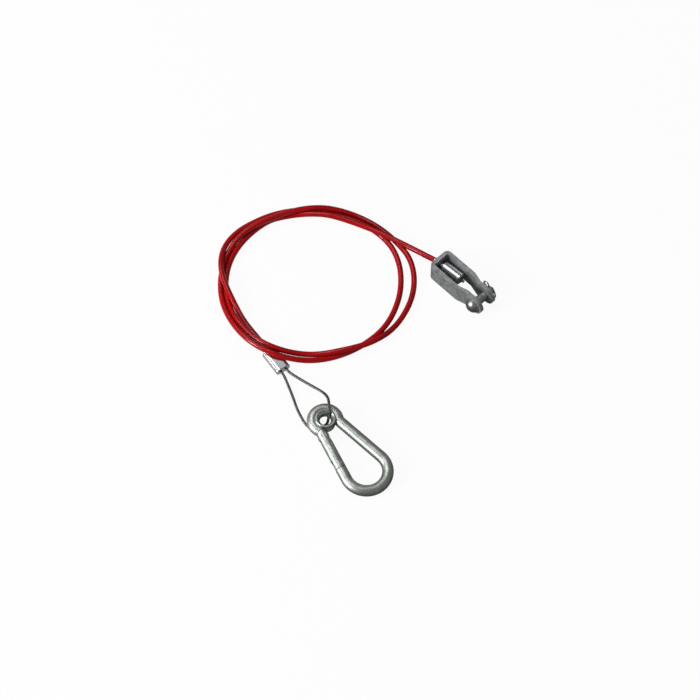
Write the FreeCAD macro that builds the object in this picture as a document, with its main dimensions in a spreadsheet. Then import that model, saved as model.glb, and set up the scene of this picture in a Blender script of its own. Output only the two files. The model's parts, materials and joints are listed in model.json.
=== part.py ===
import FreeCAD, Part
import math
import os

import Sketcher
from FreeCAD import Placement, Rotation, Vector

# Trailer breakaway cable, in millimetres, as it lies on a table: a spring hook on the bare end loop
# of a plastic-coated wire rope, the rope in a loose coil, and a clevis that turns on its other end.
# +Z is up and Z = 0 is the table. X = Y = 0 is the middle of the box round the hook and the clevis.

DIMENSIONS = {
    # Wire rope in its plastic jacket, and the bare rope inside it.
    "cable_diameter": 3.1,
    "rope_diameter": 1.6,
    # Coil from above: an oval ring of cable, two layers deep.
    "coil_x": -45.4,
    "coil_y": 58.1,
    "coil_width": 109.0,
    "coil_depth": 101.5,
    "coil_band": 9.0,
    "coil_layers": 2.0,
    # Spring hook: place of its eye, and the one wire that it is bent from.
    "hook_x": -40.9,
    "hook_y": -29.3,
    "hook_azimuth": -53.2,
    "running_gap": 0.3,
    "wire_diameter": 6.0,
    "eye_to_bend": 35.6,
    "bend_radius": 11.3,
    "eye_bend_radius": 6.8,
    "limb_offset": 4.95,
    "shoulder_radius": 4.5,
    # Gate: a rod drilled from both ends, on a rivet through the flattened end of the wire.
    "rivet_along": 8.3,
    "gate_length": 23.2,
    "gate_end_gap": 0.35,
    "gate_bore": 3.6,
    "rivet_from_end": 3.4,
    "knuckle_gap": 0.35,
    "rivet_diameter": 1.8,
    "rivet_play": 0.05,
    "rivet_head_diameter": 2.8,
    "rivet_head_height": 0.3,
    "rivet_recess": 0.4,
    "tongue_thickness": 2.6,
    "tongue_heel": 2.3,
    "slot_play": 0.15,
    # Latch at the hook's nose and the pin that it holds.
    "latch_length": 5.2,
    "latch_thickness": 2.2,
    "latch_rise": 1.0,
    "latch_drop": 2.3,
    "latch_play": 0.45,
    "latch_side_play": 0.3,
    "catch_pin_diameter": 1.5,
    "catch_pin_from_end": 2.6,
    "catch_play": 0.25,
    # Plunger and spring that close the gate.
    "plunger_gap": 0.1,
    "plunger_play": 0.1,
    "plunger_rim": 1.2,
    "plunger_stem": 3.0,
    "plunger_stem_diameter": 1.8,
    "spring_wire": 0.4,
    "spring_turns": 7.0,
    "spring_length": 7.4,
    "spring_end_gap": 0.05,
    "spring_play": 0.2,
    # Eyelet that lines the eye.
    "eyelet_bore": 5.8,
    "eyelet_mouth": 9.2,
    "eyelet_rim_diameter": 10.6,
    "eyelet_height": 7.0,
    "eyelet_lip": 0.3,
    "eyelet_seat_gap": 0.02,
    # Oval ferrule that closes the end loop; its place is the middle of its end face.
    "ferrule_x": -63.3,
    "ferrule_y": 2.9,
    "ferrule_azimuth": -55.0,
    "ferrule_length": 14.0,
    "ferrule_width": 8.6,
    "ferrule_thickness": 4.6,
    "ferrule_rounding": 0.5,
    "leg_spacing": 3.2,
    # Clevis: a strip on edge, bent to a fork; its place is the middle of its bridge's outer face.
    "fork_x": 19.8,
    "fork_y": 68.35,
    "fork_azimuth": -46.0,
    "strip_width": 11.5,
    "strip_thickness": 2.2,
    "fork_width": 14.4,
    "ear_width": 11.2,
    "fork_length": 38.1,
    "fork_corner_radius": 3.0,
    "jog_start": 21.0,
    "jog_end": 26.8,
    "cable_hole": 4.5,
    # Stop ferrule inside the fork, with a neck through the bridge's hole.
    "stop_azimuth": -42.0,
    "stop_diameter": 7.1,
    "stop_length": 12.6,
    "stop_neck_diameter": 3.7,
    "stop_neck_outside": 2.0,
    "stop_setback": 1.8,
    "stop_edge": 0.6,
    "rope_stub": 2.0,
    # Clevis pin, and the split pin through its tail.
    "pin_diameter": 5.0,
    "pin_play": 0.1,
    "pin_turn": -27.0,
    "pin_head_diameter": 8.4,
    "pin_head_height": 3.6,
    "pin_head_edge": 1.0,
    "pin_tail": 3.4,
    "pin_chamfer": 0.5,
    "split_pin_setback": 1.3,
    "split_wire": 0.8,
    "split_shoulder": 0.96,
    "split_gap": 0.04,
    "split_play": 0.05,
}

doc = FreeCAD.newDocument("BreakawayCable")
sheet = doc.addObject("Spreadsheet::Sheet", "Sizes")
for row, (alias, number) in enumerate(DIMENSIONS.items(), start=1):
    sheet.set(f"A{row}", alias)
    sheet.set(f"B{row}", str(number))
    sheet.setAlias(f"B{row}", alias)
doc.recompute()


class Size:
    """A number of the sheet, or one worked out from the sheet, with the expression that gives it."""

    def __init__(self, text, value):
        self.text = text
        self.value = value

    def joined(self, sign, other, value):
        text = other.text if isinstance(other, Size) else str(other)
        return Size(f"({self.text} {sign} {text})", value)

    def __add__(self, other):
        return self.joined("+", other, self.value + number_of(other))

    def __sub__(self, other):
        return self.joined("-", other, self.value - number_of(other))

    def __mul__(self, other):
        return self.joined("*", other, self.value * number_of(other))

    def __truediv__(self, other):
        return self.joined("/", other, self.value / number_of(other))

    def __neg__(self):
        return self * -1

    def root(self):
        return Size(f"sqrt({self.text})", math.sqrt(self.value))


def number_of(size):
    return size.value if isinstance(size, Size) else size


def size(alias):
    return Size(f"Sizes.{alias}", float(sheet.get(alias)))


def value(alias):
    return float(sheet.get(alias))


ZERO = Size("0", 0.0)


def bind(thing, **properties):
    """Sets each property from a Size or a plain number, Sizes as expressions."""
    for name, amount in properties.items():
        if isinstance(amount, Size):
            thing.setExpression(name, amount.text)
            amount = amount.value
        setattr(thing, name, amount)
    return thing


# ---------------------------------------------------------------- Part primitives and booleans

def at(x=0.0, y=0.0, z=0.0, axis=Vector(0, 0, 1), turn=0.0):
    return Placement(Vector(x, y, z), Rotation(axis, turn))


ACROSS_X = Rotation(Vector(0, 1, 0), 90)
ACROSS_Y = Rotation(Vector(1, 0, 0), -90)


def solid(kind, name, place=Placement(), **properties):
    made = bind(doc.addObject(f"Part::{kind}", name), **properties)
    made.Placement = place
    return made


def cut(name, base, tool):
    made = doc.addObject("Part::Cut", name)
    made.Base = base
    made.Tool = tool
    return made


def fuse(name, *pieces):
    made = doc.addObject("Part::MultiFuse", name)
    made.Shapes = list(pieces)
    return made


def rod(name, start, length, radius, rotation=ACROSS_X):
    """A cylinder that starts at the point start and runs along the turned Z axis."""
    return solid("Cylinder", name, Placement(start, rotation), Radius=radius, Height=length)


def block(name, corner, length, width, height):
    return solid("Box", name, Placement(corner, Rotation()), Length=length, Width=width, Height=height)


# ---------------------------------------------------------------- sketches and PartDesign bodies

def new_body(name):
    return doc.addObject("PartDesign::Body", name)


def sketch_on(body, role, name):
    plane = next(entry for entry in body.Origin.OriginFeatures if entry.Role == role)
    made = body.newObject("Sketcher::SketchObject", name)
    made.AttachmentSupport = [(plane, "")]
    made.MapMode = "FlatFace"
    return made


def fix(sketch, kind, *where):
    """Adds a constraint; a Size as its last item becomes the constraint's expression."""
    *places, amount = where
    index = sketch.addConstraint(Sketcher.Constraint(kind, *places, number_of(amount)))
    if isinstance(amount, Size):
        sketch.setExpression(f"Constraints[{index}]", amount.text)


def same_point(first, second):
    return first.distanceToPoint(second) < 1e-6


def end_at(sketch, edge, point):
    """1 or 2: which end of the sketch's edge lies at the point."""
    return 1 if same_point(sketch.Geometry[edge].StartPoint, point) else 2


def arc_through(start, middle, end):
    """A sketch's arcs run anticlockwise, so one that is given clockwise is turned round."""
    if (middle - start).cross(end - start).z < 0:
        start, end = end, start
    return Part.Arc(start, middle, end)


def outline(sketch, corners, arcs=None):
    """Closed outline through (x, y) corners. arcs gives, by edge number, the radius and a middle point.

    A half circle has None for its radius: its centre is beside its corner.
    """
    arcs = arcs or {}
    spots = [Vector(number_of(x), number_of(y), 0) for x, y in corners]
    count = len(spots)
    for edge in range(count):
        start, end = spots[edge], spots[(edge + 1) % count]
        if edge in arcs:
            sketch.addGeometry(arc_through(start, arcs[edge][1], end), False)
        else:
            sketch.addGeometry(Part.LineSegment(start, end), False)
    for edge in range(count):
        following = (edge + 1) % count
        ends = end_at(sketch, edge, spots[following]), end_at(sketch, following, spots[following])
        sketch.addConstraint(Sketcher.Constraint("Coincident", edge, ends[0], following, ends[1]))
        x, y = corners[edge]
        near = end_at(sketch, edge, spots[edge])
        fix(sketch, "DistanceX", -1, 1, edge, near, x)
        fix(sketch, "DistanceY", -1, 1, edge, near, y)
        if edge in arcs and arcs[edge][0] is None:
            fix(sketch, "DistanceX", -1, 1, edge, 3, x)
        elif edge in arcs:
            fix(sketch, "Radius", edge, arcs[edge][0])


def circle(sketch, x, radius):
    """A circle on the sketch's own horizontal axis."""
    made = sketch.addGeometry(Part.Circle(Vector(x.value, 0, 0), Vector(0, 0, 1), radius.value), False)
    fix(sketch, "DistanceX", -1, 1, made, 3, x)
    fix(sketch, "DistanceY", -1, 1, made, 3, 0)
    fix(sketch, "Radius", made, radius)


def revolve(body, name, sketch, axis="H_Axis"):
    made = body.newObject("PartDesign::Revolution", name)
    made.Profile = sketch
    made.ReferenceAxis = (sketch, [axis])
    made.Angle = 360.0
    body.Tip = made
    return made


def pad(body, name, sketch, length, both_ways=True):
    made = body.newObject("PartDesign::Pad", name)
    made.Profile = sketch
    bind(made, Length=length)
    made.Midplane = both_ways
    body.Tip = made
    return made


def pocket_both_ways(body, name, sketch):
    made = body.newObject("PartDesign::Pocket", name)
    made.Profile = sketch
    made.Type = "ThroughAll"
    made.Midplane = True
    body.Tip = made
    return made


nodes = []


def keep(thing, node, place=None):
    """Names a finished sub-part and puts it in its place."""
    thing.Label = node
    if place is not None:
        thing.Placement = place
    nodes.append(thing)
    return thing


def plain_solid(name, shape):
    made = doc.addObject("Part::Feature", name)
    made.Shape = shape
    return made


# ---------------------------------------------------------------- where things lie

WIRE = value("wire_diameter") / 2
ROPE = value("rope_diameter")
EYELET_OVERHANG = value("eyelet_height") / 2 - WIRE
EYE_LIFT = ROPE + value("running_gap") + EYELET_OVERHANG
hook_reach = value("eye_to_bend") + value("bend_radius")
hook_tilt = math.degrees(math.asin(EYE_LIFT / hook_reach))
HOOK_PLACE = Placement(
    Vector(value("hook_x"), value("hook_y"), EYE_LIFT + WIRE),
    Rotation(Vector(0, 0, 1), value("hook_azimuth")) * Rotation(Vector(0, 1, 0), hook_tilt),
)

STRIP_MIDDLE = value("strip_width") / 2
FORK_PLACE = at(value("fork_x"), value("fork_y"), STRIP_MIDDLE, turn=value("fork_azimuth"))
STOP_PLACE = at(value("fork_x"), value("fork_y"), STRIP_MIDDLE, turn=value("stop_azimuth"))
EAR_ALONG = value("fork_length") - STRIP_MIDDLE
PIN_PLACE = (
    FORK_PLACE
    * at(EAR_ALONG, turn=90)
    * at(axis=Vector(1, 0, 0), turn=value("pin_turn"))
)


# ---------------------------------------------------------------- spring hook

# The hook's own frame: X from the eye's middle to the middle of the big bend, Z through the eye.
# The spine is on the +Y side and the gate on the -Y side, each leaning outwards by the same angle.
lean = math.asin((value("bend_radius") - value("limb_offset")) / value("eye_to_bend"))
bend_centre = Vector(value("eye_to_bend"), 0, 0)


def limb_direction(side):
    return Vector(math.cos(lean), side * math.sin(lean), 0)


def limb_outward(side):
    return Vector(-math.sin(lean), side * math.cos(lean), 0)


def on_limb(side, along):
    return limb_outward(side) * value("limb_offset") + limb_direction(side) * along


SPINE, GATE = 1, -1
shoulder = value("shoulder_radius")
eye_bend = value("eye_bend_radius")
shoulder_along = math.sqrt((eye_bend + shoulder) ** 2 - (value("limb_offset") + shoulder) ** 2)
nose_along = value("rivet_along") - value("rivet_from_end") + value("gate_length") + value("gate_end_gap")


def shoulder_centre(side):
    return limb_outward(side) * (value("limb_offset") + shoulder) + limb_direction(side) * shoulder_along


def eye_tangent(side):
    return shoulder_centre(side) * (eye_bend / (eye_bend + shoulder))


def shoulder_middle(side):
    centre = shoulder_centre(side)
    towards = (eye_tangent(side) + on_limb(side, shoulder_along)) / 2 - centre
    return centre + towards.normalize() * shoulder


def bend_tangent(side):
    return bend_centre + limb_outward(side) * value("bend_radius")


def wire_line(name, *edges):
    """A path of lines and arcs that run on smoothly, for a sweep to follow."""
    return plain_solid(name, Part.Wire([Part.Edge(edge) for edge in edges]))


def sweep(name, path, section):
    made = doc.addObject("Part::Sweep", name)
    made.Sections = [section]
    made.Spine = (path, [f"Edge{number + 1}" for number in range(len(path.Shape.Edges))])
    made.Solid = True
    return made


def round_section(name, start, direction, radius):
    section = solid("Circle", name, Radius=radius)
    section.Placement = Placement(start, Rotation(Vector(0, 0, 1), direction))
    return section


def hook_path():
    """Centre line of the bent wire: rivet, round the eye, down the spine, round the bend, nose."""
    tongue_end = on_limb(GATE, value("rivet_along"))
    nose_end = on_limb(GATE, nose_along)
    return wire_line(
        "HookPath",
        Part.LineSegment(tongue_end, on_limb(GATE, shoulder_along)),
        Part.Arc(on_limb(GATE, shoulder_along), shoulder_middle(GATE), eye_tangent(GATE)),
        Part.Arc(eye_tangent(GATE), Vector(-eye_bend, 0, 0), eye_tangent(SPINE)),
        Part.Arc(eye_tangent(SPINE), shoulder_middle(SPINE), on_limb(SPINE, shoulder_along)),
        Part.LineSegment(on_limb(SPINE, shoulder_along), bend_tangent(SPINE)),
        Part.Arc(bend_tangent(SPINE), Vector(hook_reach, 0, 0), bend_tangent(GATE)),
        Part.LineSegment(bend_tangent(GATE), nose_end),
    )


def hook_wire():
    start = on_limb(GATE, value("rivet_along"))
    section = round_section("HookSection", start, limb_direction(GATE), size("wire_diameter") / 2)
    return sweep("HookWire", hook_path(), section)


# The gate's frame: X from the rivet to the nose, +Y towards the spine, Z along the rivet.
GATE_TURN = Rotation(Vector(0, 0, 1), -math.degrees(lean))
GATE_IN_HOOK = Placement(on_limb(GATE, value("rivet_along")), GATE_TURN)
GATE_PLACE = HOOK_PLACE * GATE_IN_HOOK

wire_radius = size("wire_diameter") / 2
gate_end = size("gate_length") - size("rivet_from_end")
nose_end = gate_end + size("gate_end_gap")
latch_start = nose_end - size("latch_length")
bore_radius = size("gate_bore") / 2
plunger_face = size("tongue_heel") + size("plunger_gap")
spring_start = plunger_face + size("plunger_rim") + size("spring_end_gap")
spring_seat = spring_start + size("spring_length") + size("spring_end_gap")
catch_along = gate_end - size("catch_pin_from_end")


def upright(name, radius, height, place=Placement()):
    """A cylinder along Z with its middle at the place."""
    middle = Placement(Vector(0, 0, -number_of(height) / 2), Rotation())
    return solid("Cylinder", name, place * middle, Radius=radius, Height=height)


def slab(name, x_from, x_to, y_from, y_to, height, place=Placement()):
    """A box between two Xs and two Ys, with its middle at Z = 0."""
    x, y, half = number_of(x_from), number_of(y_from), number_of(height) / 2
    made = block(name, Vector(), x_to - x_from, y_to - y_from, height)
    made.Placement = place * Placement(Vector(x, y, -half), Rotation())
    return made


def hook_frame():
    thickness = size("tongue_thickness")
    knuckle = size("rivet_from_end") + size("knuckle_gap")
    wire = hook_wire()
    knuckle_space = cut(
        "KnuckleSpace",
        upright("KnuckleRound", knuckle, size("wire_diameter") * 2, GATE_IN_HOOK),
        slab("TongueSheet", -knuckle, knuckle, -knuckle, knuckle, thickness, GATE_IN_HOOK),
    )
    tongue = fuse(
        "WireWithTongue",
        cut("FlattenedWire", wire, knuckle_space),
        upright("TongueEnd", wire_radius, thickness, GATE_IN_HOOK),
    )
    openings = fuse(
        "TongueOpenings",
        upright("RivetHole", size("rivet_diameter") / 2 + size("rivet_play"), thickness * 2, GATE_IN_HOOK),
        slab("HeelFlat", size("tongue_heel"), wire_radius * 2, -wire_radius, wire_radius,
             thickness * 2, GATE_IN_HOOK),
    )
    return fuse("HookFrame", cut("HookWithTongue", tongue, openings), latch())


def latch():
    """The flat hook at the nose: it stands in the gate's slot with its notch round the catch pin."""
    notch = size("catch_pin_diameter") / 2 + size("catch_play")
    tenon = slab("LatchTenon", latch_start, nose_end + 1, -size("latch_drop"), size("latch_rise"),
                 size("latch_thickness"), GATE_IN_HOOK)
    notch_place = GATE_IN_HOOK * at(catch_along.value)
    space = fuse(
        "LatchNotch",
        upright("NotchRound", notch, size("latch_thickness") * 2, notch_place),
        slab("NotchMouth", -notch, notch, ZERO, size("latch_rise") * 2,
             size("latch_thickness") * 2, notch_place),
    )
    return cut("Latch", tenon, space)


def catch_pin(name):
    radius = size("catch_pin_diameter") / 2
    length = (wire_radius * wire_radius - radius * radius).root() * 2
    return upright(name, radius, length, at(catch_along.value))


def gate_rivet(name):
    body = new_body(name)
    sketch = sketch_on(body, "XZ_Plane", f"{name}Profile")
    shank, head = size("rivet_diameter") / 2, size("rivet_head_diameter") / 2
    seat = wire_radius - size("rivet_recess")
    top = seat + size("rivet_head_height")
    corners = [(0, -top), (head, -top), (head, -seat), (shank, -seat)]
    corners += [(shank, seat), (head, seat), (head, top), (0, top)]
    outline(sketch, corners)
    revolve(body, f"{name}Turned", sketch, "V_Axis")
    return body


def gate():
    hinge_end = size("rivet_from_end")
    slot = size("tongue_thickness") + size("slot_play") * 2
    latch_slot = size("latch_thickness") + size("latch_side_play") * 2
    latch_seat = latch_start - size("latch_play")
    rod_start = Vector(-2 * hinge_end.value, 0, 0)
    beyond_round = cut(
        "BeyondHingeRound",
        slab("GateHingeEnd", -hinge_end * 3, ZERO, -hinge_end * 2, hinge_end * 2,
             wire_radius * 4),
        upright("GateHingeRound", hinge_end, wire_radius * 5),
    )
    body = cut("GateRod", rod("GateBar", rod_start, gate_end + hinge_end * 2, wire_radius), beyond_round)
    hollows = fuse(
        "GateHollows",
        rod("HingeBore", rod_start, spring_seat + hinge_end * 2, bore_radius),
        slab("HingeSlot", -hinge_end * 2, wire_radius + size("slot_play") * 2, -wire_radius * 2,
             wire_radius * 2, slot),
        rod("LatchBore", Vector(latch_seat.value, 0, 0), size("latch_length") * 2, bore_radius),
        slab("LatchSlot", latch_seat, size("gate_length") * 2, -wire_radius * 2, ZERO, latch_slot),
        gate_rivet("RivetRoom"),
        catch_pin("CatchPinRoom"),
    )
    return cut("Gate", body, hollows)


def gate_plunger():
    body = new_body("GatePlunger")
    sketch = sketch_on(body, "XY_Plane", "PlungerProfile")
    rim, stem = bore_radius - size("plunger_play"), size("plunger_stem_diameter") / 2
    step = plunger_face + size("plunger_rim")
    tip = step + size("plunger_stem")
    outline(sketch, [(plunger_face, 0), (tip, 0), (tip, stem), (step, stem), (step, rim), (plunger_face, rim)])
    revolve(body, "PlungerTurned", sketch)
    return body


def gate_spring():
    wire = size("spring_wire")
    radius = bore_radius - size("spring_play") - wire / 2
    height = size("spring_length") - wire
    start = Placement(Vector((spring_start + wire / 2).value, 0, 0), ACROSS_X)
    path = solid("Helix", "SpringHelix", start, Pitch=height / size("spring_turns"), Height=height, Radius=radius)
    section = solid("RegularPolygon", "SpringSection", start * Placement(Vector(radius.value, 0, 0), ACROSS_Y),
                    Circumradius=wire / 2)
    made = doc.addObject("Part::Sweep", "GateSpring")
    doc.recompute()
    made.Sections = [section]
    made.Spine = (path, [f"Edge{number + 1}" for number in range(len(path.Shape.Edges))])
    made.Solid = True
    made.Frenet = True
    return made


def eyelet():
    """A flared ring, grooved outside for the wire of the eye."""
    body = new_body("Eyelet")
    sketch = sketch_on(body, "XZ_Plane", "EyeletProfile")
    core = size("eye_bend_radius")
    groove = wire_radius + size("eyelet_seat_gap")
    rim = size("eyelet_rim_diameter") / 2
    mouth, bore, top = size("eyelet_mouth") / 2, size("eyelet_bore") / 2, size("eyelet_height") / 2
    lip = size("eyelet_lip")
    edge = (groove * groove - (core - rim) * (core - rim)).root()
    flare = ((mouth - bore) * (mouth - bore) + top * top) / ((mouth - bore) * 2)
    corners = [(mouth, top), (rim - lip, top), (rim, top - lip), (rim, edge)]
    corners += [(rim, -edge), (rim, lip - top), (rim - lip, -top), (mouth, -top)]
    outline(sketch, corners, {
        3: (groove, Vector((core - groove).value, 0, 0)),
        7: (flare, Vector(bore.value, 0, 0)),
    })
    revolve(body, "EyeletTurned", sketch, "V_Axis")
    return body


# ---------------------------------------------------------------- wire rope, coil and ferrules

FERRULE_PLACE = at(
    value("ferrule_x"), value("ferrule_y"), value("ferrule_thickness") / 2, turn=value("ferrule_azimuth")
)


def leg_end(side, along=0.0):
    """A point on one leg of the end loop, so far beyond the ferrule's end face."""
    return FERRULE_PLACE.multVec(Vector(along, side * value("leg_spacing") / 2, 0))


# End loop: out of the ferrule, over the eyelet and down through it, under the wire and back.
LOOP_ROUTE = [
    leg_end(1),
    leg_end(1, 2.6),
    Vector(-57.1, -1.1, 2.5),
    Vector(-52.5, -4.0, 3.2),
    Vector(-47.9, -7.1, 4.5),
    Vector(-43.8, -10.5, 6.2),
    Vector(-40.7, -14.6, 8.3),
    Vector(-39.0, -19.5, 10.8),
    Vector(-38.8, -25.0, 11.5),
    Vector(-43.3, -31.1, 0.8),
    Vector(-47.9, -32.5, 0.8),
    Vector(-51.3, -29.1, 0.8),
    Vector(-53.8, -24.5, 0.8),
    Vector(-56.0, -19.6, 0.8),
    Vector(-57.8, -14.4, 0.8),
    Vector(-59.7, -9.1, 0.9),
    Vector(-61.4, -4.8, 1.4),
    leg_end(-1, 2.6),
    leg_end(-1),
]

stop_shoulder = size("strip_thickness") + size("stop_setback")
stop_tip = stop_shoulder + size("stop_length")
NECK_END = STOP_PLACE.multVec(Vector(-value("stop_neck_outside"), 0, 0))

# Tail of the coil, from inside it to the neck of the stop ferrule.
TAIL_ROUTE = [
    Vector(-7.0, 85.1, 4.4),
    Vector(-1.0, 81.7, 4.5),
    Vector(7.4, 77.5, 5.2),
    STOP_PLACE.multVec(Vector(-7.0, 0, 0)),
]


def rounded_route(route):
    """Edges of a route: straight runs joined by arcs, each as large as its two runs allow."""
    edges, radii = [], []
    start = route[0]
    for before, corner, after in zip(route, route[1:], route[2:]):
        back, onward = (before - corner), (after - corner)
        setback = 0.45 * min(back.Length, onward.Length)
        back.normalize()
        onward.normalize()
        half_turn = (math.pi - back.getAngle(onward)) / 2
        radius = setback / math.tan(half_turn)
        towards = (back + onward).normalize()
        middle = corner + towards * (radius / math.cos(half_turn) - radius)
        arc_start, arc_end = corner + back * setback, corner + onward * setback
        edges += [Part.LineSegment(start, arc_start), Part.Arc(arc_start, middle, arc_end)]
        radii.append(radius)
        start = arc_end
    edges.append(Part.LineSegment(start, route[-1]))
    return edges, radii


def tube(name, route, diameter):
    """A round cord along a route. Its volume is compared with its section times its length."""
    edges, radii = rounded_route(route)
    path = wire_line(f"{name}Path", *edges)
    direction = route[1] - route[0]
    made = sweep(name, path, round_section(f"{name}Section", route[0], direction, diameter / 2))
    doc.recompute()
    expected = path.Shape.Length * math.pi * diameter.value ** 2 / 4
    print(name, "length", round(path.Shape.Length, 1), "radii", [round(radius, 1) for radius in radii])
    print(name, "volume", round(made.Shape.Volume, 2), "section times length", round(expected, 2))
    return made


def oval(name, narrower, height):
    """A flat block with the coil's outline of four arcs, smaller all round by narrower."""
    long_half, short_half = size("coil_width") / 2, size("coil_depth") / 2
    # The arcs meet at 45 degrees when all four centres lie this far from the middle.
    offset = (long_half - short_half) / (2 - math.sqrt(2))
    end_radius = long_half - offset - narrower
    side_radius = short_half + offset - narrower
    y = end_radius / math.sqrt(2)
    x = y + offset
    tips = Vector((offset + end_radius).value, 0, 0), Vector(0, (side_radius - offset).value, 0)
    body = new_body(name)
    sketch = sketch_on(body, "XY_Plane", f"{name}Oval")
    outline(sketch, [(x, -y), (x, y), (-x, y), (-x, -y)], {
        0: (end_radius, tips[0]),
        1: (side_radius, tips[1]),
        2: (end_radius, -tips[0]),
        3: (side_radius, -tips[1]),
    })
    pad(body, f"{name}Pad", sketch, height, both_ways=False)
    body.Placement = at(value("coil_x"), value("coil_y"))
    return body


def loop_ferrule():
    """An oval sleeve pressed flat on the two legs of the loop; its end face looks along X."""
    body = new_body("LoopFerrule")
    sketch = sketch_on(body, "YZ_Plane", "FerruleOval")
    side = size("ferrule_thickness") / 2
    straight = size("ferrule_width") / 2 - side
    corners = [(straight, -side), (straight, side), (-straight, side), (-straight, -side)]
    tip = (straight + side).value
    outline(sketch, corners, {0: (None, Vector(tip, 0, 0)), 2: (None, Vector(-tip, 0, 0))})
    made = pad(body, "FerrulePad", sketch, size("ferrule_length"), both_ways=False)
    made.Reversed = True
    doc.recompute()
    ends = [f"Edge{number}" for number, edge in enumerate(made.Shape.Edges, start=1)
            if edge.BoundBox.XLength < value("ferrule_length") / 2]
    fillet = body.newObject("PartDesign::Fillet", "FerruleRounding")
    fillet.Base = (made, ends)
    bind(fillet, Radius=size("ferrule_rounding"))
    body.Tip = fillet
    return body


def cable_coil(ferrule):
    """The room that the coiled cable fills, with a pocket for the end of the ferrule."""
    height = size("cable_diameter") * size("coil_layers")
    ring = cut(
        "CoilRing",
        oval("CoilOutside", 0, height),
        oval("CoilInside", size("coil_band"), height),
    )
    return cut("CableCoil", ring, ferrule)


def stop_ferrule():
    body = new_body("StopFerrule")
    sketch = sketch_on(body, "XY_Plane", "StopProfile")
    neck, sleeve = size("stop_neck_diameter") / 2, size("stop_diameter") / 2
    bore, edge = size("rope_diameter") / 2, size("stop_edge")
    outside = -size("stop_neck_outside")
    outline(sketch, [
        (outside, bore), (outside, neck), (stop_shoulder, neck), (stop_shoulder, sleeve - edge),
        (stop_shoulder + edge, sleeve), (stop_tip - edge, sleeve), (stop_tip, sleeve - edge), (stop_tip, bore),
    ])
    revolve(body, "StopTurned", sketch)
    return body


# ---------------------------------------------------------------- clevis, its pin and the split pin

def clevis_fork():
    body = new_body("ClevisFork")
    half, ear, wall = size("fork_width") / 2, size("ear_width") / 2, size("strip_thickness")
    tip, corner = size("fork_length"), size("fork_corner_radius")
    start, end = size("jog_start"), size("jog_end")
    slope = math.atan2((half - ear).value, (end - start).value)
    # Inside the jog's two bends the strip keeps its thickness when both inner bends lie this far back.
    back = wall * math.tan(slope / 2)
    upper = [(corner, half), (start, half), (end, ear), (tip, ear)]
    inner = [(tip, ear - wall), (end - back, ear - wall), (start - back, half - wall), (corner, half - wall)]
    side = upper + inner + [(wall, half - corner)]
    corners = side + [(x, -y) for x, y in reversed(side)] + [(ZERO, corner - half)]
    corners.append((ZERO, half - corner))

    def round_middle(radius, sign):
        diagonal = radius.value / math.sqrt(2)
        return Vector(corner.value - diagonal, sign * ((half - corner).value + diagonal), 0)

    sketch = sketch_on(body, "XY_Plane", "StripOutline")
    outline(sketch, corners, {
        7: (corner - wall, round_middle(corner - wall, 1)),
        9: (corner - wall, round_middle(corner - wall, -1)),
        17: (corner, round_middle(corner, -1)),
        19: (corner, round_middle(corner, 1)),
    })
    pad(body, "Strip", sketch, size("strip_width"))

    centre, ear_round = tip - size("strip_width") / 2, size("strip_width") / 2
    # The ears are rounded about the pin: what lies outside the half circle goes.
    waste = sketch_on(body, "XZ_Plane", "EarWaste")
    outline(waste, [
        (centre, ear_round), (tip, 0), (centre, -ear_round), (centre, ear_round * -2),
        (tip + ear_round, ear_round * -2), (tip + ear_round, ear_round * 2), (centre, ear_round * 2),
    ], {
        0: (ear_round, Vector((centre + ear_round * math.sqrt(0.5)).value, (ear_round * math.sqrt(0.5)).value, 0)),
        1: (ear_round, Vector((centre + ear_round * math.sqrt(0.5)).value, -(ear_round * math.sqrt(0.5)).value, 0)),
    })
    pocket_both_ways(body, "EarRounding", waste)
    hole = sketch_on(body, "XZ_Plane", "PinHoles")
    circle(hole, centre, size("pin_diameter") / 2 + size("pin_play"))
    pocket_both_ways(body, "PinHolesCut", hole)
    bridge = sketch_on(body, "YZ_Plane", "CableHole")
    circle(bridge, ZERO, size("cable_hole") / 2)
    pocket_both_ways(body, "CableHoleCut", bridge)
    return body


# The split pin crosses the clevis pin this far along it, and each leg lies this far off its middle.
split_along = size("ear_width") / 2 + size("split_pin_setback")
LEG = value("split_wire") / 2 + value("split_gap") / 2


def clevis_pin():
    """Turned along X, which runs through both ears; the head is on the -X side."""
    body = new_body("ClevisPin")
    sketch = sketch_on(body, "XY_Plane", "PinProfile")
    shank, head = size("pin_diameter") / 2, size("pin_head_diameter") / 2
    under = -size("ear_width") / 2 - size("pin_play")
    edge, apex = under - size("pin_head_edge"), under - size("pin_head_height")
    dome = size("pin_head_height") - size("pin_head_edge")
    dome_radius = (head * head + dome * dome) / (dome * 2)
    half_angle = math.asin(head.value / dome_radius.value) / 2
    dome_middle = Vector(
        apex.value + dome_radius.value * (1 - math.cos(half_angle)),
        dome_radius.value * math.sin(half_angle),
        0,
    )
    tail = size("ear_width") / 2 + size("pin_tail")
    outline(sketch, [
        (apex, 0), (edge, head), (under, head), (under, shank),
        (tail - size("pin_chamfer"), shank), (tail, shank - size("pin_chamfer")), (tail, 0),
    ], {0: (dome_radius, dome_middle)})
    revolve(body, "PinTurned", sketch)
    hole = sketch_on(body, "XY_Plane", "SplitPinHole")
    circle(hole, split_along, size("split_wire") + size("split_gap") / 2 + size("split_play"))
    pocket_both_ways(body, "SplitPinHoleCut", hole)
    return body


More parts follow.
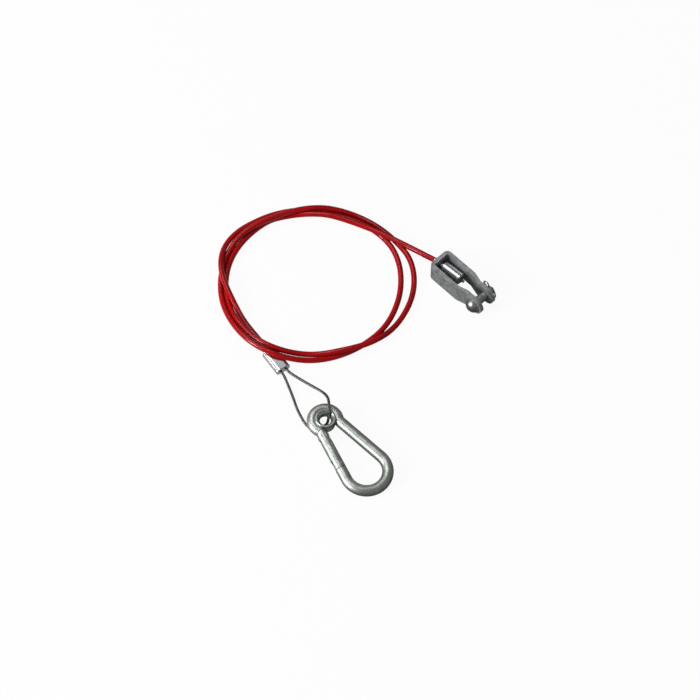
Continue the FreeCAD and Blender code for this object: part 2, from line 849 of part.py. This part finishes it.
def split_pin():
    """One wire: up the long leg, round the eye on top of the pin and down the short leg."""
    radius = value("pin_diameter") / 2
    top = radius + value("split_shoulder")
    under = -top
    spots = [
        (-4.4, 4.4), (-5.0, 0.8), (-4.0, -2.6), (-1.5, -4.1), (-LEG, under),
        (-LEG, top), (-2.0, top + 1.5), (-1.3, top + 3.6), (1.3, top + 3.6), (2.0, top + 1.5),
        (LEG, top), (LEG, under), (1.6, -4.2), (3.6, -4.0),
    ]
    route = [PIN_PLACE.multVec(Vector(split_along.value, across, up)) for across, up in spots]
    return tube("SplitPin", route, size("split_wire"))


# ---------------------------------------------------------------- the sub-parts

keep(hook_frame(), "hook_frame", HOOK_PLACE)
keep(eyelet(), "eyelet", HOOK_PLACE)
keep(gate(), "gate", GATE_PLACE)
keep(gate_plunger(), "gate_plunger", GATE_PLACE)
keep(gate_spring(), "gate_spring", GATE_PLACE)
keep(gate_rivet("GateRivet"), "gate_rivet", GATE_PLACE)
catch = catch_pin("CatchPin")
keep(catch, "catch_pin", GATE_PLACE * catch.Placement)

ferrule = keep(loop_ferrule(), "loop_ferrule", FERRULE_PLACE)
coil = keep(cable_coil(ferrule), "cable_coil")
keep(tube("WireLoop", LOOP_ROUTE, size("rope_diameter")), "wire_loop")
core_end = STOP_PLACE.multVec(Vector((stop_tip + size("rope_stub")).value, 0, 0))
core = tube("RopeCore", TAIL_ROUTE + [core_end], size("rope_diameter"))
jacket = tube("TailJacket", TAIL_ROUTE + [NECK_END], size("cable_diameter"))
keep(cut("CableTail", cut("TailPastCoil", jacket, coil), core), "cable_tail")
keep(cut("RopeEnd", core, coil), "rope_end")
keep(stop_ferrule(), "stop_ferrule", STOP_PLACE)
keep(clevis_fork(), "clevis_fork", FORK_PLACE)
keep(clevis_pin(), "clevis_pin", PIN_PLACE)
keep(split_pin(), "split_pin")
doc.recompute()

for thing in doc.Objects:
    if "Invalid" in thing.State or "Error" in thing.State:
        raise RuntimeError(f"{thing.Label} failed: {thing.State}")
for thing in nodes:
    if thing.Shape.isNull() or not thing.Shape.isValid():
        raise RuntimeError(f"{thing.Label} has no valid shape")

os.makedirs("parts", exist_ok=True)
for thing in nodes:
    thing.Shape.exportStep(f"parts/{thing.Label}.step")
    print(f"{thing.Label}: {len(thing.Shape.Solids)} solid, {thing.Shape.Volume:.1f} mm3")
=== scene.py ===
# %% [markdown]
# # A breakaway cable
# A trailer's breakaway cable is a red plastic-coated wire rope with a spring hook on one end and a
# clevis on the other. The metal pieces come from the CAD model and keep their shapes, so this lesson
# gives them their finishes, and makes what CAD leaves plain: the loose coil and the bare wire loop.

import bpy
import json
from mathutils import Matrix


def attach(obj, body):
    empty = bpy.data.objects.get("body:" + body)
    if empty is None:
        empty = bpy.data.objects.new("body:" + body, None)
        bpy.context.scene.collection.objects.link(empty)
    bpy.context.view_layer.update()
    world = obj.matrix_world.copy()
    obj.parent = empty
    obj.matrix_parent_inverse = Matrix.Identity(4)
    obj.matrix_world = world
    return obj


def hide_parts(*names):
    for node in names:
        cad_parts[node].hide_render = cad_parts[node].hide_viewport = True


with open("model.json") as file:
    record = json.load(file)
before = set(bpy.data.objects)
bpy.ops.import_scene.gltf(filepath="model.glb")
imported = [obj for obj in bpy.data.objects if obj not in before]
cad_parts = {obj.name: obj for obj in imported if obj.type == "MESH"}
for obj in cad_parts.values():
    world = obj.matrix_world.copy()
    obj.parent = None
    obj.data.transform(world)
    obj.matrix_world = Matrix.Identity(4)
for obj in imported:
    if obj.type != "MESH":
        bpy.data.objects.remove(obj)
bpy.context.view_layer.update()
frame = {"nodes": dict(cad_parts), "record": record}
print("CAD nodes:", ", ".join(sorted(frame["nodes"])))

# %% What the rest of the lesson uses
import json
import math

import bmesh
import bpy
from mathutils import Vector

MM = 0.001
scene = bpy.context.scene


def place(x, y, z):
    """A point given in millimetres, in the metres that Blender uses."""
    return Vector((x, y, z)) * MM


# %% [markdown]
# ## The camera
# A coil on a table is seen best from well above it through a long lens, so that it keeps its oval
# shape and near parts look no bigger than far ones. A lens of 120 mm from 1.25 m does that. The
# camera turns to its target with a track rotation, which keeps the horizon level.

# %% Camera
CAMERA_TARGET = place(-28.0, 16.6, 0)
CAMERA_DISTANCE = 1.25
CAMERA_ELEVATION = math.radians(60)
CAMERA_LENS = 120.1

camera = bpy.data.objects.new("camera", bpy.data.cameras.new("camera"))
scene.collection.objects.link(camera)
camera.data.lens = CAMERA_LENS
camera.data.clip_end = 20
back_off = Vector((0, -math.cos(CAMERA_ELEVATION), math.sin(CAMERA_ELEVATION))) * CAMERA_DISTANCE
camera.location = CAMERA_TARGET + back_off
camera.rotation_euler = (-back_off).to_track_quat("-Z", "Y").to_euler()
scene.camera = camera
print("camera at", [round(c, 3) for c in camera.location])

# %% [markdown]
# ## The red cable
# The real cable is about a metre of wire rope in a red jacket, wound by hand into a coil of a little
# over two and a half turns. Nothing ties it, so each turn has its own size and they cross: one lies
# on the table while the other climbs over it. A simulated rope would settle by itself, but not into
# these turns, so they are laid one by one. A NURBS curve with a round bevel is the simplest smooth
# tube.
# Each turn follows the coil's oval. A list says how far in from it and how high the cable lies at
# chosen places, and a loop works out evenly spaced points between them. Two turns climb higher where
# they pass over the loop's ferrule.

# %% The coil's oval and how the turns lie in it
CABLE_DIAMETER = 3.1 * MM
COIL_MIDDLE = place(-45.4, 58.1, 0)
COIL_HALF_WIDTH = 52.95 * MM
COIL_HALF_DEPTH = 49.2 * MM
LOW = 1.6  # height of the cable's middle on the table, in mm
HIGH = 4.8  # and on top of another turn

# From the clevis round to the hook's ferrule: degrees round the oval, mm in from it, mm up.
LAY = [
    (31, 2.0, HIGH), (40, 5.0, HIGH), (49, 6.9, HIGH), (58, 8.1, HIGH), (67, 8.4, HIGH),
    (75, 8.0, HIGH), (84, 7.1, HIGH), (91, 6.5, 4.5), (97, 5.4, 3.0), (104, 4.0, 1.8),
    (112, 3.2, LOW), (120, 1.9, LOW), (135, 2.4, LOW), (150, 2.6, LOW), (165, 2.7, LOW),
    (180, 2.8, LOW), (195, 2.4, 1.8), (203, 2.2, 2.8), (210, 1.9, 4.0), (225, 1.1, HIGH),
    (238, 0.6, 6.0), (247, 1.2, 5.2), (259, 2.9, 2.6), (270, 3.7, 2.0), (279, 3.6, 3.6),
    (288, 3.1, HIGH), (300, 1.9, HIGH), (311, 1.5, 3.8), (322, 1.5, 1.8), (335, 1.5, LOW),
    (350, 0.9, LOW), (365, 0.4, LOW), (380, 0.3, LOW), (394, 1.8, LOW), (412, 2.2, LOW),
    (426, 1.9, LOW), (435, 1.8, 2.4), (443, 1.9, 3.6), (452, 2.6, HIGH), (464, 2.8, HIGH),
    (480, 3.1, HIGH), (493, 1.5, HIGH), (504, 0.0, 3.8), (516, -0.4, 2.0), (528, -0.3, LOW),
    (540, -0.1, LOW), (555, -0.5, 2.2), (570, -1.1, 3.8), (580, -1.9, 5.0), (590, -2.8, 6.2),
    (600, -3.0, 6.4), (609, -2.9, 6.2), (617, -1.9, 4.4), (625, -0.5, 2.4), (634, 0.8, LOW),
    (647, 2.4, LOW), (660, 3.9, LOW), (680, 5.7, LOW), (698, 7.4, LOW), (720, 7.8, LOW),
    (740, 6.6, LOW), (753, 5.6, LOW), (765, 5.4, LOW), (780, 5.1, LOW), (792, 5.0, LOW),
    (803, 4.2, LOW), (812, 2.9, LOW), (818, 1.9, LOW), (824, 0.8, LOW), (832, 0.0, LOW),
    (840, -0.9, LOW), (850, -1.9, LOW), (860, -3.5, LOW), (870, -4.2, 1.8), (880, -3.1, 3.4),
    (888, -1.4, 4.8), (896, 0.6, HIGH), (906, 3.2, HIGH), (916, 5.0, 3.8), (926, 5.6, 2.0),
    (943, 4.6, LOW),
]
STEP = 9  # degrees from one point of the curve to the next

# %% From that list to points in space


def on_oval(degrees, inset, height):
    """The place that far round the coil's oval, in from it and up from the table by so many mm."""
    angle = math.radians(degrees)
    across = Vector((COIL_HALF_WIDTH * math.cos(angle), COIL_HALF_DEPTH * math.sin(angle), 0))
    outward = Vector((across.x / COIL_HALF_WIDTH**2, across.y / COIL_HALF_DEPTH**2, 0)).normalized()
    return COIL_MIDDLE + across - outward * inset * MM + Vector((0, 0, height * MM))


def between(degrees):
    """Inset and height at an angle, on a cubic Hermite curve through the places on both sides."""
    for index in range(len(LAY) - 1):
        if LAY[index][0] <= degrees <= LAY[index + 1][0]:
            break
    four = [LAY[max(0, min(len(LAY) - 1, index + offset))] for offset in (-1, 0, 1, 2)]
    span = four[2][0] - four[1][0]
    share = (degrees - four[1][0]) / span
    found = []
    for column in (1, 2):
        slope_in = (four[2][column] - four[0][column]) / (four[2][0] - four[0][0]) * span
        slope_out = (four[3][column] - four[1][column]) / (four[3][0] - four[1][0]) * span
        found.append(
            (2 * share**3 - 3 * share**2 + 1) * four[1][column]
            + (share**3 - 2 * share**2 + share) * slope_in
            + (3 * share**2 - 2 * share**3) * four[2][column]
            + (share**3 - share**2) * slope_out
        )
    return found


turns = []
for degrees in range(LAY[0][0], LAY[-1][0] + 1, STEP):
    turns.append(on_oval(degrees, *between(degrees)))
print("coil:", len(turns), "points over", round((LAY[-1][0] - LAY[0][0]) / 360, 2), "turns")

# %% The whole route, from the clevis's stop to the hook's ferrule
TAIL = [
    place(18.8, 69.25, 5.75), place(16.7, 70.75, 5.75), place(13.6, 72.6, 5.7),
    place(11.0, 74.3, 5.6), place(8.0, 76.3, 5.3), place(4.8, 78.4, 5.0), place(1.5, 80.5, 4.8),
]
INTO_FERRULE = [
    place(-76.5, 21.8, 1.7), place(-73.6, 17.7, 2.0), place(-71.3, 14.4, 2.3),
    place(-69.6, 11.9, 2.3),
]


def nurbs(name, tracks, diameter=0.0, smoothness=6, roundness=5):
    """Smooth round cords in one curve object: one open NURBS spline for each track of points."""
    curve = bpy.data.curves.new(name, "CURVE")
    curve.dimensions = "3D"
    curve.resolution_u = smoothness
    curve.bevel_depth = diameter / 2
    curve.bevel_resolution = roundness
    curve.use_fill_caps = diameter > 0
    for track in tracks:
        spline = curve.splines.new("NURBS")
        spline.points.add(len(track) - 1)
        for control, point in zip(spline.points, track):
            control.co = (*point, 1)
        spline.order_u = 3
        spline.use_endpoint_u = True
    cord = bpy.data.objects.new(name, curve)
    scene.collection.objects.link(cord)
    return cord


def followed(points):
    """Points along the smooth line that a NURBS cord with these control points takes."""
    guide = nurbs("guide", [points])
    line = bpy.data.meshes.new_from_object(guide)
    found = [vertex.co.copy() for vertex in line.vertices]
    bpy.data.objects.remove(guide)
    bpy.data.meshes.remove(line)
    return found


def length_of(line):
    """The length of a line of points."""
    return sum((b - a).length for a, b in zip(line, line[1:]))


cable_route = TAIL + turns + INTO_FERRULE
red_cable = nurbs("red_cable", [cable_route], CABLE_DIAMETER)
cable_length = length_of(followed(cable_route))
print("cable length", round(cable_length, 4), "m")

# %% [markdown]
# ## The bare wire loop
# The hook hangs in an eye of bare galvanised wire rope, which goes over the eyelet's rim, down
# through it and back under. A rope shows its strands. A twisted pattern on one tube would be lighter,
# but its outline would stay smooth, so six thin tubes wind round a seventh. They follow points read
# back from the route's own smooth line, which keeps them on it in every bend.

# %% The loop's route and its seven strands
ROPE_DIAMETER = 1.6 * MM
ROPE_LAY = 9.5 * MM
FROM_FERRULE_TO_EYELET = [
    place(-63.6, 6.11, 2.3), place(-61.99, 3.82, 2.3), place(-60.4, 1.65, 2.4),
    place(-56.3, -1.8, 3.1), place(-50.1, -6.7, 4.5), place(-43.9, -11.6, 6.3),
]
THROUGH_EYELET = [
    place(-40.9, -15.0, 8.4), place(-39.3, -19.0, 10.8), place(-38.9, -23.4, 11.8),
    place(-39.0, -26.2, 10.6), place(-39.2, -28.0, 6.5), place(-39.8, -29.3, 2.0),
]
UNDER_THE_EYE_AND_BACK = [
    place(-42.6, -30.6, 0.8), place(-47.9, -32.3, 0.8), place(-51.3, -29.1, 0.8),
    place(-53.8, -24.5, 0.8), place(-56.0, -19.6, 0.8), place(-57.6, -14.4, 0.8),
    place(-59.6, -8.7, 0.8), place(-61.7, -3.3, 1.3), place(-63.1, -0.1, 2.1),
    place(-64.61, 1.98, 2.3), place(-66.22, 4.27, 2.3),
]
OUTER_STRANDS = 6
POINTS_PER_LAY = 12


def even_points(line, spacing):
    """Points along a line at one spacing, so that what winds round it keeps an even pitch."""
    found, travelled, due = [], 0.0, 0.0
    for start, end in zip(line, line[1:]):
        step = (end - start).length
        while step > 0 and due <= travelled + step:
            found.append(start.lerp(end, (due - travelled) / step))
            due += spacing
        travelled += step
    return found


def wire_rope(name, line, diameter, lay):
    """A rope of one core strand and six round it, as a mesh that follows a line."""
    strand = diameter / 3
    points = even_points(line, lay / POINTS_PER_LAY)
    side = Vector((0, 0, 1)).cross(points[1] - points[0]).normalized()
    tracks = [[] for _ in range(OUTER_STRANDS + 1)]
    for index, point in enumerate(points):
        ahead = (points[min(index + 1, len(points) - 1)] - points[max(index - 1, 0)]).normalized()
        side = (side - ahead * side.dot(ahead)).normalized()
        other = ahead.cross(side)
        for number in range(OUTER_STRANDS):
            turn = 2 * math.pi * (index / POINTS_PER_LAY + number / OUTER_STRANDS)
            tracks[number].append(point + (side * math.cos(turn) + other * math.sin(turn)) * strand)
        tracks[OUTER_STRANDS].append(point)
    wound = nurbs(name, tracks, strand, smoothness=2, roundness=2)
    mesh = bpy.data.meshes.new_from_object(wound)
    bpy.data.objects.remove(wound)
    mesh.shade_smooth()
    rope = bpy.data.objects.new(name, mesh)
    scene.collection.objects.link(rope)
    print(name, len(mesh.polygons), "faces")
    return rope


loop_line = followed(FROM_FERRULE_TO_EYELET + THROUGH_EYELET + UNDER_THE_EYE_AND_BACK)
bare_loop = wire_rope("bare_loop", loop_line, ROPE_DIAMETER, ROPE_LAY)

# %% [markdown]
# ## Sums on shader sockets
# A finish is reckoned from noise. Writing it as nodes by hand is long, so this class wraps one
# socket, and Python's own signs add the Math nodes. Everything else comes from one method.

# %% A socket that can be reckoned with


class Socket:
    """A node's output, in sums with numbers or other outputs."""

    def __init__(self, finish, output):
        self.finish = finish
        self.output = output

    def reckon(self, operation, other):
        return self.finish.node("ShaderNodeMath", {"operation": operation}, {0: self, 1: other})

    def __add__(self, other):
        return self.reckon("ADD", other)

    __radd__ = __add__

    def __mul__(self, other):
        return self.reckon("MULTIPLY", other)

    __rmul__ = __mul__

    def over(self, low, high):
        """0 below low and 1 above high, with a smooth rise between them."""
        settings = {"interpolation_type": "SMOOTHSTEP"}
        return self.finish.node("ShaderNodeMapRange", settings, {0: self, 1: low, 2: high})

# %% [markdown]
# ## One class for every finish
# Each finish is a Principled shader whose colour, roughness and fine relief come from noise. Image
# textures would need every piece unwrapped, and noise on Object coordinates runs over all of them
# without a seam. The class holds what the finishes share, so each one below is only its own numbers.

# %% A finish and its nodes


class Finish:
    """A material with one Principled shader. Constants are set on the shader's own sockets."""

    def __init__(self, name, **constants):
        self.material = bpy.data.materials.new(name)
        self.material.use_nodes = True
        self.tree = self.material.node_tree
        self.shader = self.tree.nodes["Principled BSDF"]
        for socket, value in constants.items():
            self.shader.inputs[socket.replace("_", " ")].default_value = value
        self.where = self.node("ShaderNodeTexCoord", output="Object")

    def feed(self, socket, value):
        if isinstance(value, Socket):
            self.tree.links.new(value.output, socket)
        else:
            socket.default_value = value

    def node(self, kind, settings=None, sockets=None, output=0):
        """Any node: its type, settings, the values or links of its sockets, and the output wanted."""
        made = self.tree.nodes.new(kind)
        for name, value in (settings or {}).items():
            setattr(made, name, value)
        for key, value in (sockets or {}).items():
            self.feed(made.inputs[key], value)
        return Socket(self, made.outputs[output])

    def noise(self, size, detail):
        """Cloudy noise from 0 to 1 whose patches are about size metres across."""
        sockets = {"Vector": self.where, "Scale": 1 / size, "Detail": detail}
        return self.node("ShaderNodeTexNoise", {}, sockets)

    def mix(self, share, first, second):
        """A colour between two others."""
        return self.node(
            "ShaderNodeMix", {"data_type": "RGBA"}, {0: share, 6: (*first, 1), 7: (*second, 1)}, 2
        )

    def paint(self, colour, roughness, height, depth, metallic=None):
        """Feeds what varies over the surface. Height makes a bump that is depth metres deep."""
        self.feed(self.shader.inputs["Base Color"], colour)
        self.feed(self.shader.inputs["Roughness"], roughness)
        if metallic is not None:
            self.feed(self.shader.inputs["Metallic"], metallic)
        sockets = {"Strength": 1.0, "Distance": depth, "Height": height}
        self.feed(self.shader.inputs["Normal"], self.node("ShaderNodeBump", {}, sockets))
        print("finish", self.material.name)
        return self.material


# %% [markdown]
# ## Red jacket
# The jacket is soft extruded plastic: a strong glossy red with a slightly uneven skin, dulled in
# patches where it was handled. A lower specular level than the usual 0.5 keeps the pale room from
# washing out the red, and the gloss comes from low roughness.

# %% Red jacket
jacket = Finish("red_jacket", Specular_IOR_Level=0.28)
patches = jacket.noise(18 * MM, 3)
grain = jacket.noise(0.7 * MM, 2)
red_jacket = jacket.paint(
    colour=jacket.mix(patches.over(0.3, 0.75), (0.44, 0.002, 0.004), (0.32, 0.001, 0.003)),
    roughness=0.12 + 0.08 * patches + 0.02 * grain,
    height=grain,
    depth=0.01 * MM,
)

# %% [markdown]
# ## Bright zinc
# The hook is steel wire with a bright zinc plate: a pale metal, faintly green, with cloudy dull spots
# and small pits. One even grey would look like plastic, so the same clouds change its colour and its
# roughness together, and a finer noise makes the pits.

# %% Bright zinc
zinc = Finish("zinc_plate", Metallic=1.0)
clouds = zinc.noise(5 * MM, 4)
pits = zinc.noise(0.5 * MM, 3)
zinc_plate = zinc.paint(
    colour=zinc.mix(clouds.over(0.35, 0.7), (0.55, 0.58, 0.55), (0.39, 0.42, 0.39)),
    roughness=0.33 + 0.14 * clouds + 0.05 * pits,
    height=pits,
    depth=0.015 * MM,
)

# %% [markdown]
# ## Galvanised strip
# The clevis is bent from strip that was dipped in zinc: grey, matte and mottled, with a rough grain.
# Zinc crystals don't all shine alike, so a Voronoi pattern varies how metallic the strip is, and two
# sizes of noise give the mottle and the grain.

# %% Galvanised strip
CRYSTALS_PER_METRE = 900.0

dipped = Finish("galvanised")
mottle = dipped.noise(2.4 * MM, 4)
crystals = dipped.node(
    "ShaderNodeTexVoronoi", {}, {"Vector": dipped.where, "Scale": CRYSTALS_PER_METRE}
)
rough_grain = dipped.noise(0.35 * MM, 3)
galvanised = dipped.paint(
    colour=dipped.mix(mottle.over(0.3, 0.7), (0.42, 0.44, 0.44), (0.26, 0.275, 0.275)),
    roughness=0.42 + 0.2 * mottle,
    metallic=0.45 + 0.15 * crystals,
    height=rough_grain + 0.5 * mottle,
    depth=0.08 * MM,
)

# %% [markdown]
# ## Aluminium ferrules
# Both ferrules are aluminium, pressed in a tool: the palest metal here and nearly polished. Faint
# smears make them a little duller in places, and one noise for colour, roughness and relief is
# enough for that.

# %% Aluminium ferrules
pressed = Finish("ferrule_metal", Metallic=1.0)
smears = pressed.noise(1.5 * MM, 3)
ferrule_metal = pressed.paint(
    colour=pressed.mix(smears.over(0.3, 0.7), (0.68, 0.69, 0.70), (0.50, 0.51, 0.52)),
    roughness=0.17 + 0.12 * smears,
    height=smears,
    depth=0.015 * MM,
)

# %% [markdown]
# ## Bare rope, pins and spring
# The bare rope is dark galvanised wire. The pin and the split pin are zinc plated steel, a little
# darker than the hook, and the spring is drawn wire. They differ only in colours, roughness and the
# size of their clouds, so one function makes all three.

# %% Bare rope, pins and spring


def wire_finish(name, light, dark, roughness, patch):
    """A drawn or plated steel with slight clouds, patch metres across."""
    steel = Finish(name, Metallic=1.0)
    cloud = steel.noise(patch, 3)
    return steel.paint(
        colour=steel.mix(cloud.over(0.3, 0.7), light, dark),
        roughness=roughness + 0.15 * cloud,
        height=cloud,
        depth=0.02 * MM,
    )


bare_rope = wire_finish("bare_rope", (0.23, 0.23, 0.225), (0.13, 0.13, 0.13), 0.36, 0.8 * MM)
pin_steel = wire_finish("pin_steel", (0.50, 0.51, 0.51), (0.30, 0.31, 0.31), 0.30, 1.2 * MM)
spring_steel = wire_finish("spring_steel", (0.50, 0.50, 0.50), (0.40, 0.40, 0.40), 0.25, 1.0 * MM)

# %% [markdown]
# ## Each piece gets its finish
# The record already says which node has which finish, so a loop over it gives each CAD node its
# material and nothing is listed twice.

# %% Give out the finishes
FINISHES = {
    "red_jacket": red_jacket,
    "bare_rope": bare_rope,
    "ferrule_metal": ferrule_metal,
    "zinc_plate": zinc_plate,
    "galvanised": galvanised,
    "pin_steel": pin_steel,
    "spring_steel": spring_steel,
}
for subpart in frame["record"]["subparts"]:
    node = frame["nodes"][subpart["node"]]
    node.data.materials.clear()
    node.data.materials.append(FINISHES[subpart["material_slot"]])
red_cable.data.materials.append(red_jacket)
bare_loop.data.materials.append(bare_rope)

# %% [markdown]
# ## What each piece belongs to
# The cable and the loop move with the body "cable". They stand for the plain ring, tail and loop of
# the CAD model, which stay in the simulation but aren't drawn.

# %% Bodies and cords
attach(red_cable, "cable")
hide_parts("cable_coil", "cable_tail")
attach(bare_loop, "cable")
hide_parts("wire_loop")

# %% [markdown]
# ## Floor and light
# The cable lies on a plain white table. For the camera most of the table's white is its own glow, so
# the lamps leave only a soft, pale shadow. Polished metal shows its shape only when it mirrors both
# light and dark, so mirror rays see a painted reflection instead: another table that glows by itself,
# dim as painted shade on the clevis's side and pale beyond the coil's far side, with a smooth change
# between.

# %% Floor
FLOOR_HALF = 3.0
FLOOR_DROP = 0.2 * MM
BACKGROUND_SHARE = 0.94
MIRRORED_SHARE = 0.9
DIM, PALE = 0.04, 1.0
DIM_AS_FAR_AS = 0.01  # metres to the left of the origin
PALE_FROM = 0.14

shape = bmesh.new()
bmesh.ops.create_grid(shape, x_segments=1, y_segments=1, size=FLOOR_HALF)
bmesh.ops.translate(shape, verts=shape.verts, vec=(0, 0, -FLOOR_DROP))
floor_mesh = bpy.data.meshes.new("floor")
shape.to_mesh(floor_mesh)
shape.free()
floor = bpy.data.objects.new("floor", floor_mesh)
scene.collection.objects.link(floor)

table_top = Finish("table_top", Base_Color=(0.95, 0.95, 0.95, 1), Roughness=0.9)
seen = table_top.node("ShaderNodeLightPath", output="Is Camera Ray")
mirrored = table_top.node("ShaderNodeLightPath", output="Is Glossy Ray")
across = table_top.node("ShaderNodeSeparateXYZ", {}, {0: table_top.where}, "X")
to_the_left = (-1 * across).over(DIM_AS_FAR_AS, PALE_FROM)
white = table_top.node("ShaderNodeEmission", {}, {"Color": (1, 1, 1, 1), "Strength": 1.0})
# Painted reflection for mirror rays: a glow that is dim painted shade near the clevis and pale to the
# left.
shade = table_top.mix(to_the_left, (DIM, DIM, DIM), (PALE, PALE, PALE))
painted_reflection = table_top.node("ShaderNodeEmission", {}, {"Color": shade, "Strength": 1.0})
lit = Socket(table_top, table_top.shader.outputs[0])
drawn = table_top.node("ShaderNodeMixShader", {}, {0: BACKGROUND_SHARE * seen, 1: lit, 2: white})
surface = table_top.node("ShaderNodeMixShader", {}, {0: MIRRORED_SHARE * mirrored, 1: drawn, 2: painted_reflection})
table_top.feed(table_top.tree.nodes["Material Output"].inputs["Surface"], surface)
floor_mesh.materials.append(table_top.material)

# %% World and lamps
ROOM_LIGHT = 0.22

world = bpy.data.worlds.new("room")
world.use_nodes = True
scene.world = world
background = world.node_tree.nodes["Background"]
background.inputs["Color"].default_value = (1, 1, 1, 1)
background.inputs["Strength"].default_value = ROOM_LIGHT


def lamp(name, spot, size, watts):
    """A square soft box that faces the cable."""
    data = bpy.data.lights.new(name, "AREA")
    data.size = size
    data.energy = watts
    fixture = bpy.data.objects.new(name, data)
    scene.collection.objects.link(fixture)
    fixture.location = spot
    fixture.rotation_euler = (CAMERA_TARGET - Vector(spot)).to_track_quat("-Z", "Y").to_euler()


lamp("window", spot=(-1.05, -0.4, 0.55), size=0.4, watts=11)
lamp("ceiling", spot=(-0.55, 0.45, 1.25), size=0.8, watts=6)

scene.view_settings.view_transform = "Standard"
